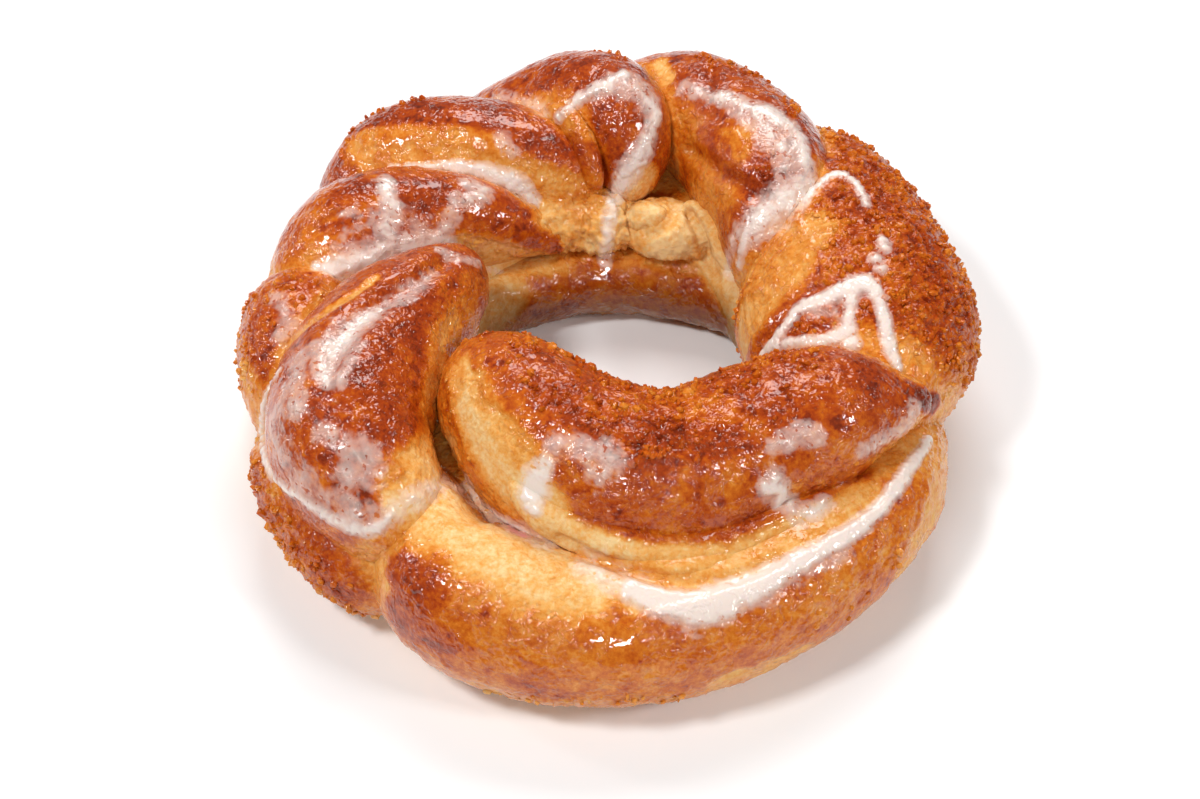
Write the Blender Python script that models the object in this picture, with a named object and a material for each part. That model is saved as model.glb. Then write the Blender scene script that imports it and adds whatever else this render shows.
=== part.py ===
"""A twisted ring coffee cake: strands of browned dough wound round a ring, with folds, icing and crumbs.

The strands, folds, icing and crumbs are fused into one solid with a flat underside and a hole.
Lengths in the tables are millimetres and angles are degrees. The ring's axis is Z, and angles run
anticlockwise from +X, seen from above. The front strand is the fullest, so the hole's axis stands
a little behind the origin, which is the middle of the cake's outline at its underside.
"""

import math
import random

import bmesh
import bpy
import numpy as np
from mathutils import Matrix, Vector, noise
from mathutils.bvhtree import BVHTree

MM = 0.001

# Where the hole's axis stands, from the middle of the whole outline.
RING_AXIS = (-2.8, 4.7)

# The ring of dough that the strands are wound on: it is squarish in section and stands on its flat.
RING_RADIUS = 81.0
RING_HALF_WIDTH = 32.5
RING_HALF_HEIGHT = 16.5
RING_CENTRE_HEIGHT = 15.0
RING_SQUARENESS = 0.6
RING_SEGMENTS = 48
RING_SIDES = 16

# A strand's stations, from its outer end to its inner end: angle, radius, height of its middle,
# half width and half depth.
STRANDS = {
    "front": [(347, 106, 23, 17, 20), (324, 105, 22, 20, 21), (296, 104, 21, 22, 22),
              (269, 105, 21, 23, 23), (244, 101, 24, 24, 25), (224, 78, 30, 18, 22)],
    "front_cap": [(338, 108, 49, 13, 11), (329, 86, 48, 23, 21), (311, 71, 44, 24, 23),
                  (289, 68, 40, 26, 27), (263, 60, 42, 27, 28), (233, 48, 44, 25, 27),
                  (211, 43, 37, 21, 22)],
    "right": [(66, 98, 15, 16, 15), (54, 99, 24, 20, 19), (40, 97, 31, 27, 24), (20, 86, 34, 34, 28),
              (1, 83, 33, 39, 30), (342, 83, 30, 35, 28), (326, 89, 24, 25, 21)],
    "back_right": [(100, 97, 16, 15, 15), (87, 102, 31, 18, 19), (73, 102, 41, 21, 21), (58, 91, 43, 23, 24),
                   (43, 78, 42, 23, 25), (30, 64, 37, 16, 21), (18, 55, 27, 11, 16)],
    "back": [(129, 98, 15, 15, 14), (119, 100, 25, 17, 17), (107, 97, 34, 20, 20), (93, 91, 44, 23, 23),
             (84, 78, 46, 19, 24), (80, 57, 38, 12, 17)],
    "back_left": [(157, 98, 16, 15, 14), (145, 101, 27, 17, 19), (134, 99, 35, 21, 24), (123, 86, 41, 21, 23),
                  (107, 69, 41, 19, 22), (91, 56, 35, 14, 17)],
    "upper_left": [(183, 97, 16, 14, 15), (175, 95, 26, 16, 18), (166, 92, 34, 20, 22),
                   (155, 85, 41, 20, 22), (140, 67, 40, 16, 19), (121, 53, 35, 11, 13),
                   (106, 45, 30, 7, 9)],
    "left": [(238, 100, 27, 17, 19), (227, 96, 37, 22, 22), (212, 90, 43, 25, 25),
             (193, 70, 42, 25, 25), (173, 52, 42, 17, 22), (159, 47, 33, 13, 17)],
    "outer_left": [(205, 99, 18, 15, 16), (195, 96, 29, 19, 20), (182, 96, 36, 19, 20),
                   (167, 91, 34, 18, 19)],
    "lower_left": [(240, 101, 15, 14, 14), (227, 103, 19, 19, 18), (211, 103, 21, 18, 18),
                   (196, 106, 20, 16, 17)],
    "inner_roll": [(178, 56, 12, 9, 11), (152, 50, 12, 10, 13), (121, 46, 12, 11, 13),
                   (90, 45, 12, 11, 13), (60, 48, 12, 10, 13), (34, 55, 12, 9, 12), (12, 60, 12, 8, 11)],
}

# Folds of pale dough that show between the strands.
FOLDS = {
    "cap_fold": [(250, 78, 52, 6, 7), (262, 86, 46, 6, 7), (283, 93, 39, 6, 6),
                 (302, 95, 38, 6, 6), (324, 103, 38, 5, 5)],
    "under_fold": [(266, 90, 38, 5, 5), (281, 100, 40, 5, 5), (298, 101, 39, 5, 4)],
    "torn_flap": [(104, 82, 56, 4, 6), (97, 71, 57, 4, 7), (91, 54, 46, 4, 6)],
    "smooth_lump": [(76, 55, 33, 13, 12), (47, 54, 33, 13, 12)],
    "torn_crumb": [(114, 54, 33, 12, 12), (82, 51, 32, 13, 12)],
    "back_scrap": [(84, 106, 35, 8, 7), (75, 108, 36, 7, 7)],
}

# Lines of icing: angle round the ring, angle round the dough (0 outwards, 90 up, 180 to the hole)
# and half width at points along each line.
ICING = {
    "front_line": [(337, 27, 2), (319, 31, 3), (304, 33, 4), (291, 30, 6), (276, 39, 6), (263, 52, 5)],
    "right_loop": [(341, 138, 3), (349, 121, 3), (357, 92, 4), (353, 81, 3), (341, 64, 2)],
    "right_arm": [(354, 101, 3), (346, 98, 3), (341, 117, 3)],
    "right_curl": [(30, 88, 2), (31, 78, 2), (26, 74, 2), (19, 78, 2)],
    "back_right_film": [(58, 86, 4), (45, 80, 4), (35, 88, 5), (29, 97, 5), (26, 134, 4)],
    "back_drip": [(102, 98, 2), (90, 92, 4), (80, 90, 4), (74, 103, 3), (77, 124, 3), (86, 146, 2)],
    "crescent": [(141, 76, 2), (127, 112, 3), (117, 133, 3), (112, 146, 2)],
    "left_pool": [(172, 88, 4), (164, 113, 7), (152, 132, 4)],
    "left_rim": [(203, 60, 2), (198, 30, 2), (207, 20, 2), (223, 38, 2), (234, 50, 3)],
    "cap_drop": [(256, 102, 4), (258, 88, 4)],
    "cap_dab": [(302, 74, 3), (308, 66, 4), (315, 58, 3)],
}
ICING_HALF_DEPTH = 1.9
ICING_RAYS = 9
ICING_SMOOTHING = 2

# Where crumbs cling: from and to angle round the ring, from and to angle round the dough, and how many.
CRUMB_PATCHES = [
    (325, 415, 5, 75, 20),
    (245, 335, 2, 14, 8),
    (165, 240, 2, 50, 14),
    (40, 145, 10, 60, 12),
    (235, 330, 115, 150, 10),
]
CRUMB_SIZES = (1.5, 2.8)
CRUMB_SINK = 0.3
CRUMB_SEED = 11

# The dough's unevenness, as a share of a strand's size, and how far apart its bumps are.
UNEVENNESS = 0.055
BUMP_SPACING = 16.0

# A limb's outline from end to end is a superellipse with these powers along it and across it.
POWER_ALONG = 3.0
POWER_ACROSS = 2.6
SLOPE_STEP = 0.001

# How far from the ring's middle line the rays start that find the dough's surface.
OUTER_REACH = 90.0
HOLE_REACH = 60.0

STRAND_RINGS = 20
STRAND_SIDES = 16
FOLD_RINGS = 10
FOLD_SIDES = 10
ICING_RINGS = 12
ICING_SIDES = 8
CUTTER_SIZE = 400.0

CRUST_COLOUR = (0.46, 0.17, 0.045, 1.0)
CRUST_ROUGHNESS = 0.35


def clear_scene():
    for thing in list(bpy.data.objects):
        bpy.data.objects.remove(thing, do_unlink=True)


def make_collection(name):
    collection = bpy.data.collections.new(name)
    bpy.context.scene.collection.children.link(collection)
    return collection


def crust_material():
    material = bpy.data.materials.new("browned_crust")
    material.use_nodes = True
    shader = material.node_tree.nodes["Principled BSDF"]
    shader.inputs["Base Color"].default_value = CRUST_COLOUR
    shader.inputs["Roughness"].default_value = CRUST_ROUGHNESS
    return material


def ring_point(angle, radius, height):
    """A point at an angle round the ring, a radius from its axis and a height."""
    turn = math.radians(angle)
    return np.array([
        RING_AXIS[0] + radius * math.cos(turn),
        RING_AXIS[1] + radius * math.sin(turn),
        height,
    ])


def glide(rows, share):
    """A smooth curve through the rows of numbers, read at a share of its length from 0 to 1."""
    last = len(rows) - 1
    place = min(max(share, 0.0), 1.0) * last
    index = min(int(place), last - 1)
    part = place - index
    start, end = rows[index], rows[index + 1]
    before = rows[index - 1] if index > 0 else 2 * start - end
    after = rows[index + 2] if index + 2 <= last else 2 * end - start
    return 0.5 * (
        2 * start
        + (end - before) * part
        + (2 * before - 5 * start + 4 * end - after) * part**2
        + (3 * start - before - 3 * end + after) * part**3
    )


def station_row(point, upward, half_width, half_depth):
    return np.array([*point, *upward, half_width, half_depth], dtype=float)


def strand_rows(stations):
    rows = []
    for angle, radius, height, half_width, half_depth in stations:
        rows.append(station_row(ring_point(angle, radius, height), (0, 0, 1), half_width, half_depth))
    return rows


def add_limb(name, rows, rings, sides, unevenness, collection):
    """A rounded limb: a sphere drawn out along the rows, blunt at both ends."""
    mesh = bpy.data.meshes.new(name)
    shape = bmesh.new()
    bmesh.ops.create_uvsphere(shape, u_segments=sides, v_segments=rings, radius=1.0)
    for vertex in shape.verts:
        x, y, z = vertex.co
        share = 0.25 * (z + 1) + 0.5 * math.acos(min(max(-z, -1.0), 1.0)) / math.pi
        here = glide(rows, share)
        ahead = glide(rows, share + SLOPE_STEP)
        behind = glide(rows, share - SLOPE_STEP)
        along = Vector((ahead - behind)[:3]).normalized()
        across = Vector(here[3:6]).cross(along).normalized()
        upward = along.cross(across)
        swell = max(0.0, 1 - abs(2 * share - 1) ** POWER_ALONG) ** (1 / POWER_ACROSS)
        offset = across * (x * here[6]) + upward * (y * here[7])
        spread = math.hypot(x, y)
        if spread > 1e-6:
            offset *= swell / spread
        centre = Vector(here[:3])
        bump = 1 + unevenness * noise.noise((centre + offset) / BUMP_SPACING)
        vertex.co = (centre + offset * bump) * MM
    shape.to_mesh(mesh)
    shape.free()
    limb = bpy.data.objects.new(name, mesh)
    collection.objects.link(limb)
    return limb


def add_ring(name, collection):
    """The ring itself: a torus whose round section is pushed out towards a square."""
    bpy.ops.mesh.primitive_torus_add(
        major_segments=RING_SEGMENTS, minor_segments=RING_SIDES, major_radius=RING_RADIUS, minor_radius=1.0
    )
    ring = bpy.context.object
    ring.name = name
    for holder in list(ring.users_collection):
        holder.objects.unlink(ring)
    collection.objects.link(ring)
    for vertex in ring.data.vertices:
        x, y, z = vertex.co
        outward = math.hypot(x, y) - RING_RADIUS
        width = math.copysign(abs(outward) ** RING_SQUARENESS, outward) * RING_HALF_WIDTH
        rise = math.copysign(abs(z) ** RING_SQUARENESS, z) * RING_HALF_HEIGHT
        turn = math.degrees(math.atan2(y, x))
        vertex.co = Vector(ring_point(turn, RING_RADIUS + width, RING_CENTRE_HEIGHT + rise)) * MM
    return ring


def surface_tree(pieces):
    """One search tree over the surfaces of all the pieces."""
    shape = bmesh.new()
    for piece in pieces:
        shape.from_mesh(piece.data)
    tree = BVHTree.FromBMesh(shape)
    shape.free()
    return tree


def surface_at(tree, turn, tilt):
    """Where a ray meets the dough: it comes in towards the ring's middle line at a tilt."""
    reach = HOLE_REACH if tilt > 90 else OUTER_REACH
    outward = reach * math.cos(math.radians(tilt))
    upward = reach * math.sin(math.radians(tilt))
    middle = ring_point(turn, RING_RADIUS, RING_CENTRE_HEIGHT)
    start = ring_point(turn, RING_RADIUS + outward, RING_CENTRE_HEIGHT + upward)
    way = Vector(middle - start).normalized()
    point, normal, _, _ = tree.ray_cast(Vector(start) * MM, way)
    return point / MM, normal


def add_icing(name, line, tree, collection):
    """A line of icing: a flat limb that follows the dough's surface."""
    marks = [np.array(mark, dtype=float) for mark in line]
    rows = []
    for index in range(ICING_RAYS):
        turn, tilt, half_width = glide(marks, index / (ICING_RAYS - 1))
        point, normal = surface_at(tree, turn, tilt)
        rows.append(station_row(point, normal, half_width, ICING_HALF_DEPTH))
    for _ in range(ICING_SMOOTHING):
        rows[1:-1] = [(rows[i - 1] + 2 * rows[i] + rows[i + 1]) / 4 for i in range(1, len(rows) - 1)]
    return add_limb("icing_" + name, rows, ICING_RINGS, ICING_SIDES, 0.0, collection)


def add_crumbs(tree, collection):
    draw = random.Random(CRUMB_SEED)
    for first_turn, last_turn, first_tilt, last_tilt, count in CRUMB_PATCHES:
        for _ in range(count):
            turn = draw.uniform(first_turn, last_turn)
            tilt = draw.uniform(first_tilt, last_tilt)
            size = draw.uniform(*CRUMB_SIZES)
            point, normal = surface_at(tree, turn, tilt)
            centre = (point - normal * size * CRUMB_SINK) * MM
            shape = bmesh.new()
            placed = Matrix.Translation(centre) @ Matrix.Rotation(draw.uniform(0, math.tau), 4, normal)
            bmesh.ops.create_icosphere(shape, subdivisions=1, radius=size * MM, matrix=placed)
            mesh = bpy.data.meshes.new("crumb")
            shape.to_mesh(mesh)
            shape.free()
            collection.objects.link(bpy.data.objects.new("crumb", mesh))


def add_floor_cutter(collection):
    """A block under the cake, whose top face trims the underside flat."""
    bpy.ops.mesh.primitive_cube_add(size=CUTTER_SIZE * MM, location=(0, 0, -CUTTER_SIZE / 2 * MM))
    cutter = bpy.context.object
    cutter.name = "floor_cutter"
    cutter.hide_render = True
    cutter.display_type = "WIRE"
    for holder in list(cutter.users_collection):
        holder.objects.unlink(cutter)
    collection.objects.link(cutter)
    return cutter


def keep_largest_shell(shape):
    """Drops loose scraps, and fills sealed hollows by dropping their inner shells."""
    unseen = set(shape.verts)
    shells = []
    while unseen:
        shell = [unseen.pop()]
        for vertex in shell:
            for edge in vertex.link_edges:
                other = edge.other_vert(vertex)
                if other in unseen:
                    unseen.remove(other)
                    shell.append(other)
        shells.append(shell)
    shells.sort(key=len)
    for shell in shells[:-1]:
        bmesh.ops.delete(shape, geom=shell, context="VERTS")


def fuse(ring, dough, cutters):
    """Joins everything to the ring, trims the underside, and leaves one plain mesh."""
    cutter = add_floor_cutter(cutters)
    join = ring.modifiers.new("join", "BOOLEAN")
    join.operation = "UNION"
    join.operand_type = "COLLECTION"
    join.collection = dough
    join.solver = "MANIFOLD"
    trim = ring.modifiers.new("trim", "BOOLEAN")
    trim.operation = "DIFFERENCE"
    trim.object = cutter
    trim.solver = "MANIFOLD"
    evaluated = ring.evaluated_get(bpy.context.evaluated_depsgraph_get())
    mesh = bpy.data.meshes.new_from_object(evaluated)
    ring.modifiers.clear()
    ring.data = mesh
    for spare in list(dough.objects) + list(cutters.objects):
        bpy.data.objects.remove(spare, do_unlink=True)
    for collection in (dough, cutters):
        bpy.data.collections.remove(collection)
    shape = bmesh.new()
    shape.from_mesh(mesh)
    keep_largest_shell(shape)
    shape.to_mesh(mesh)
    shape.free()


def main():
    clear_scene()
    cake = make_collection("coffee_cake_parts")
    dough = make_collection("dough")
    cutters = make_collection("cutters")
    ring = add_ring("coffee_cake", cake)
    for name, stations in STRANDS.items():
        add_limb(name, strand_rows(stations), STRAND_RINGS, STRAND_SIDES, UNEVENNESS, dough)
    for name, stations in FOLDS.items():
        add_limb(name, strand_rows(stations), FOLD_RINGS, FOLD_SIDES, UNEVENNESS, dough)
    tree = surface_tree([ring, *dough.objects])
    for name, line in ICING.items():
        add_icing(name, line, tree, dough)
    add_crumbs(tree, dough)
    fuse(ring, dough, cutters)
    ring.data.materials.clear()
    ring.data.materials.append(crust_material())
    ring.data.shade_smooth()


main()
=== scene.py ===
import math
import time

import bpy
import numpy as np
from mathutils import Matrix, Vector
from mathutils.bvhtree import BVHTree


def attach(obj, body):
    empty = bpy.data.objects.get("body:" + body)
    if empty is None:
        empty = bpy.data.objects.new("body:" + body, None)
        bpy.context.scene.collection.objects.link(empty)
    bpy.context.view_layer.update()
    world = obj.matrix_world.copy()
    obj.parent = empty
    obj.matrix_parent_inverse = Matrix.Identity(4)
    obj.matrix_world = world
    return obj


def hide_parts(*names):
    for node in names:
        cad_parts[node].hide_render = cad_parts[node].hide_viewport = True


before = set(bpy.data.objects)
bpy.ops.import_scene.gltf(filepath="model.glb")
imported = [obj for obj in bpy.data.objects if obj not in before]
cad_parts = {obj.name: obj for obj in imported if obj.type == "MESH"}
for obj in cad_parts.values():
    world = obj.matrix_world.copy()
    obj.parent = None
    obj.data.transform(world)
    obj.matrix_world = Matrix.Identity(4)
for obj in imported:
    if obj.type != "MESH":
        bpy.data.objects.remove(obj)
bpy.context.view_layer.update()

# Lengths in the dictionaries are millimetres and angles are degrees, as in the solid.
mm = 0.001
started = time.time()


def say(text):
    print("%5.1f s  %s" % (time.time() - started, text))


# The camera comes first, because every stroke below is laid on the dough along its sight lines.
view = {
    "location": (-2.8, -427.9, 518.1),
    "lookDown": 50.13,
    "focal": 60.18,
    "sensor": 36.0,
    "frameWidth": 1200,
    "frameHeight": 799,
}


def viewAim():
    tilt = math.radians(view["lookDown"])
    return Vector((0, math.cos(tilt), -math.sin(tilt)))


def makeCamera():
    data = bpy.data.cameras.new("viewCamera")
    data.lens = view["focal"]
    data.sensor_width = view["sensor"]
    data.clip_start = 0.01
    camera = bpy.data.objects.new("viewCamera", data)
    bpy.context.scene.collection.objects.link(camera)
    camera.location = Vector(view["location"]) * mm
    camera.rotation_mode = "QUATERNION"
    camera.rotation_quaternion = viewAim().to_track_quat("-Z", "Y")
    bpy.context.scene.camera = camera


def sightLine(pixelX, pixelY):
    aim = viewAim()
    right = Vector((1, 0, 0))
    above = right.cross(aim)
    pixelFocal = view["focal"] / view["sensor"] * view["frameWidth"]
    offX = (pixelX - view["frameWidth"] / 2) / pixelFocal
    offY = (pixelY - view["frameHeight"] / 2) / pixelFocal
    return (aim + right * offX - above * offY).normalized()


# The dough's shapes are the solid's. Each has its browning (0 raw, 1 burnt), its share of crumbs
# and how torn it is, and its stations from the outer end to the inner end: angle, radius, height,
# half width and half depth.
ringAxis = (-2.8, 4.7)
coreRing = {
    "radius": 81.0, "halfWidth": 32.5, "halfHeight": 16.5, "middleHeight": 15.0, "squareness": 0.6,
    "length": 400, "girth": 160, "browning": 0.4, "crumb": 0.3, "torn": 0.0,
}
strands = {
    "frontStrand": {"browning": 0.46, "crumb": 0.08, "torn": 0.0, "stations": [
        (347, 106, 23, 17, 20), (324, 105, 22, 20, 21), (296, 104, 21, 22, 22),
        (269, 105, 21, 23, 23), (244, 101, 24, 24, 25), (224, 78, 30, 18, 22)]},
    "capStrand": {"browning": 0.54, "crumb": 0.4, "torn": 0.0, "stations": [
        (338, 108, 49, 13, 11), (329, 86, 48, 23, 21), (311, 71, 44, 24, 23),
        (289, 68, 40, 26, 27), (263, 60, 42, 27, 28), (233, 48, 44, 25, 27), (211, 43, 37, 21, 22)]},
    "rightStrand": {"browning": 0.55, "crumb": 0.9, "torn": 0.0, "stations": [
        (66, 98, 15, 16, 15), (54, 99, 24, 20, 19), (40, 97, 31, 27, 24), (20, 86, 34, 34, 28),
        (1, 83, 33, 39, 30), (342, 83, 30, 35, 28), (326, 89, 24, 25, 21)]},
    "backRightStrand": {"browning": 0.56, "crumb": 0.15, "torn": 0.0, "stations": [
        (100, 97, 16, 15, 15), (87, 102, 31, 18, 19), (73, 102, 41, 21, 21), (58, 91, 43, 23, 24),
        (43, 78, 42, 23, 25), (30, 64, 37, 16, 21), (18, 55, 27, 11, 16)]},
    "backStrand": {"browning": 0.58, "crumb": 0.12, "torn": 0.0, "stations": [
        (129, 98, 15, 15, 14), (119, 100, 25, 17, 17), (107, 97, 34, 20, 20), (93, 91, 44, 23, 23),
        (84, 78, 46, 19, 24), (80, 57, 38, 12, 17)]},
    "backLeftStrand": {"browning": 0.58, "crumb": 0.16, "torn": 0.0, "stations": [
        (157, 98, 16, 15, 14), (145, 101, 27, 17, 19), (134, 99, 35, 21, 24), (123, 86, 41, 21, 23),
        (107, 69, 41, 19, 22), (91, 56, 35, 14, 17)]},
    "upperLeftStrand": {"browning": 0.56, "crumb": 0.1, "torn": 0.0, "stations": [
        (183, 97, 16, 14, 15), (175, 95, 26, 16, 18), (166, 92, 34, 20, 22), (155, 85, 41, 20, 22),
        (140, 67, 40, 16, 19), (121, 53, 35, 11, 13), (106, 45, 30, 7, 9)]},
    "leftStrand": {"browning": 0.56, "crumb": 0.06, "torn": 0.0, "stations": [
        (238, 100, 27, 17, 19), (227, 96, 37, 22, 22), (212, 90, 43, 25, 25), (193, 70, 42, 25, 25),
        (173, 52, 42, 17, 22), (159, 47, 33, 13, 17)]},
    "outerLeftStrand": {"browning": 0.52, "crumb": 0.55, "torn": 0.0, "stations": [
        (205, 99, 18, 15, 16), (195, 96, 29, 19, 20), (182, 96, 36, 19, 20), (167, 91, 34, 18, 19)]},
    "lowerLeftStrand": {"browning": 0.54, "crumb": 0.8, "torn": 0.0, "stations": [
        (240, 101, 15, 14, 14), (227, 103, 19, 19, 18), (211, 103, 21, 18, 18), (196, 106, 20, 16, 17)]},
    "innerRoll": {"browning": 0.5, "crumb": 0.05, "torn": 0.25, "stations": [
        (178, 56, 12, 9, 11), (152, 50, 12, 10, 13), (121, 46, 12, 11, 13), (90, 45, 12, 11, 13),
        (60, 48, 12, 10, 13), (34, 55, 12, 9, 12), (12, 60, 12, 8, 11)]},
    "capFold": {"browning": -0.02, "crumb": 0.0, "torn": 0.2, "stations": [
        (250, 78, 52, 6, 7), (262, 86, 46, 6, 7), (283, 94.5, 39.5, 7.5, 7.5), (302, 96, 38.5, 7, 7),
        (324, 103, 38, 5, 5)]},
    "underFold": {"browning": 0.16, "crumb": 0.0, "torn": 0.2, "stations": [
        (266, 90, 38, 5, 5), (281, 100, 40, 5, 5), (298, 101, 39, 5, 4)]},
    "tornFlap": {"browning": 0.42, "crumb": 0.0, "torn": 0.1, "stations": [
        (104, 82, 56, 4, 6), (97, 71, 57, 4, 7), (91, 54, 46, 4, 6)]},
    "smoothLump": {"browning": -0.07, "crumb": 0.0, "torn": 0.6, "stations": [
        (85, 51, 28, 6, 6), (77, 53, 30, 9.5, 8.5), (67, 54, 31, 11.5, 9.5), (57, 55, 30, 10, 9),
        (49, 56, 27, 6, 7)]},
    "lumpRidge": {"browning": -0.07, "crumb": 0.0, "torn": 0.6, "stations": [
        (80, 50, 35, 4, 4), (73, 51, 38.5, 5.5, 4.5), (65, 53, 39, 4, 4)]},
    "lumpFlap": {"browning": 0.05, "crumb": 0.0, "torn": 0.4, "stations": [
        (62, 61, 39, 4, 5), (54, 60, 35, 4.5, 7), (45, 58, 29, 4.5, 8.5), (36, 57, 21, 4, 9)]},
    "tornCrumb": {"browning": 0.02, "crumb": 0.1, "torn": 1.0, "stations": [
        (119, 54, 31, 9, 9), (109, 54, 34, 12, 11), (97, 53, 33, 11, 10.5), (86, 51, 32, 12, 10.5),
        (77, 50, 29, 8, 9)]},
    "backScrap": {"browning": 0.12, "crumb": 0.1, "torn": 0.5, "stations": [
        (84, 106, 35, 8, 7), (75, 108, 36, 7, 7)]},
}
grain = 0.8  # length of a face's side
limb = {
    "roundnessAlong": 3, "roundnessAcross": 2.6, "slopeStep": 0.001, "floorGap": 0.4,
    "lengthSamples": 60, "spareLength": 20, "leastAlong": 24, "leastAround": 20,
}


def ringPoint(angle, radius, height):
    turn = math.radians(angle)
    return (ringAxis[0] + radius * math.cos(turn), ringAxis[1] + radius * math.sin(turn), height)


def glide(rows, shares):
    rows = np.asarray(rows, dtype=float)
    last = len(rows) - 1
    place = np.clip(shares, 0.0, 1.0) * last
    index = np.minimum(place.astype(int), last - 1)
    part = (place - index)[:, None]
    start, end = rows[index], rows[index + 1]
    before = np.where((index > 0)[:, None], rows[np.maximum(index - 1, 0)], 2 * start - end)
    after = np.where((index + 2 <= last)[:, None], rows[np.minimum(index + 2, last)], 2 * end - start)
    return 0.5 * (2 * start + (end - before) * part
                  + (2 * before - 5 * start + 4 * end - after) * part**2
                  + (3 * start - before - 3 * end + after) * part**3)


def unit(vectors):
    return vectors / np.maximum(np.linalg.norm(vectors, axis=-1, keepdims=True), 1e-9)


def smoothStep(low, high, values):
    part = np.clip((values - low) / (high - low), 0, 1)
    return part * part * (3 - 2 * part)


def strandRows(stations):
    return np.array([(*ringPoint(a, r, h), w, d) for a, r, h, w, d in stations], dtype=float)


def bendGrid(rows, along, around):
    run = np.linspace(0, 1, along)
    share = 0.5 * run + 0.25 * (1 - np.cos(math.pi * run))
    here = glide(rows, share)
    step = limb["slopeStep"]
    ahead = unit(glide(rows, share + step)[:, :3] - glide(rows, share - step)[:, :3])
    across = unit(np.cross(np.array([0.0, 0.0, 1.0]), ahead))
    upward = np.cross(ahead, across)
    swell = np.maximum(0, 1 - np.abs(2 * share - 1) ** limb["roundnessAlong"])
    swell = swell ** (1 / limb["roundnessAcross"])
    turn = np.linspace(0, 2 * math.pi, around, endpoint=False)
    side = np.cos(turn)[None, :, None] * (across * here[:, 3:4])[:, None, :]
    rise = np.sin(turn)[None, :, None] * (upward * here[:, 4:5])[:, None, :]
    grid = here[:, None, :3] + (side + rise) * swell[:, None, None]
    grid[..., 2] = np.maximum(grid[..., 2], limb["floorGap"])
    return grid


def ringGrid(along, around):
    turn = np.linspace(0, 2 * math.pi, along, endpoint=False)
    section = np.linspace(0, 2 * math.pi, around, endpoint=False)
    power = coreRing["squareness"]
    wide = np.sign(np.cos(section)) * np.abs(np.cos(section)) ** power * coreRing["halfWidth"]
    high = np.sign(np.sin(section)) * np.abs(np.sin(section)) ** power * coreRing["halfHeight"]
    radius = coreRing["radius"] + wide
    height = np.maximum(coreRing["middleHeight"] + high, 0.0)
    grid = np.empty((along, around, 3))
    grid[..., 0] = ringAxis[0] + np.cos(turn)[:, None] * radius
    grid[..., 1] = ringAxis[1] + np.sin(turn)[:, None] * radius
    grid[..., 2] = height
    return grid


def gridFaces(along, around, wraps):
    row = np.arange(along if wraps else along - 1)[:, None]
    side = np.arange(around)[None, :]
    nextRow, nextSide = (row + 1) % along, (side + 1) % around
    quads = np.stack([row * around + side, row * around + nextSide,
                      nextRow * around + nextSide, nextRow * around + side], axis=-1).reshape(-1, 4)
    return quads[:, ::-1] if wraps else quads


def meshFromFaces(name, points, quads, triangles):
    mesh = bpy.data.meshes.new(name)
    corners = np.concatenate([quads.ravel(), triangles.ravel()]).astype(np.int32)
    starts = np.concatenate([np.arange(len(quads)) * 4, len(quads) * 4 + np.arange(len(triangles)) * 3])
    mesh.vertices.add(len(points))
    mesh.vertices.foreach_set("co", np.ascontiguousarray(points * mm, dtype=np.float32).ravel())
    mesh.loops.add(len(corners))
    mesh.loops.foreach_set("vertex_index", corners)
    mesh.polygons.add(len(starts))
    mesh.polygons.foreach_set("loop_start", starts.astype(np.int32))
    mesh.update(calc_edges=True)
    mesh.shade_smooth()
    return mesh


def limbMesh(name, grid):
    along, around = grid.shape[:2]
    inner = grid[1:-1]
    points = np.concatenate([inner.reshape(-1, 3), grid[:1, 0], grid[-1:, 0]])
    quads = gridFaces(along - 2, around, False)
    side = np.arange(around)
    base = (along - 3) * around
    first = np.stack([np.full(around, len(points) - 2), (side + 1) % around, side], axis=-1)
    last = np.stack([np.full(around, len(points) - 1), base + side, base + (side + 1) % around], axis=-1)
    return meshFromFaces(name, points, quads, np.concatenate([first, last]))


def ringMesh(name, grid):
    along, around = grid.shape[:2]
    return meshFromFaces(name, grid.reshape(-1, 3), gridFaces(along, around, True), np.empty((0, 3), int))


def addPiece(name, mesh):
    piece = bpy.data.objects.new(name, mesh)
    bpy.context.scene.collection.objects.link(piece)
    return piece


def gridSize(rows):
    samples = glide(rows, np.linspace(0, 1, limb["lengthSamples"]))
    length = np.linalg.norm(np.diff(samples[:, :3], axis=0), axis=1).sum() + limb["spareLength"]
    girth = 2 * math.pi * np.sqrt((rows[:, 3].max() ** 2 + rows[:, 4].max() ** 2) / 2)
    return max(limb["leastAlong"], int(length / grain)), max(limb["leastAround"], int(girth / grain))


makeCamera()
rowsOf = {name: strandRows(plan["stations"]) for name, plan in strands.items()}
basePieces = {name: limbMesh(name, bendGrid(rows, *gridSize(rows))) for name, rows in rowsOf.items()}
ringSize = int(coreRing["length"] / grain), int(coreRing["girth"] / grain)
basePieces["coreDough"] = ringMesh("coreDough", ringGrid(*ringSize))
faceCount = sum(len(mesh.polygons) for mesh in basePieces.values())
say("dough shapes: %d pieces, %d faces" % (len(basePieces), faceCount))

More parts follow.
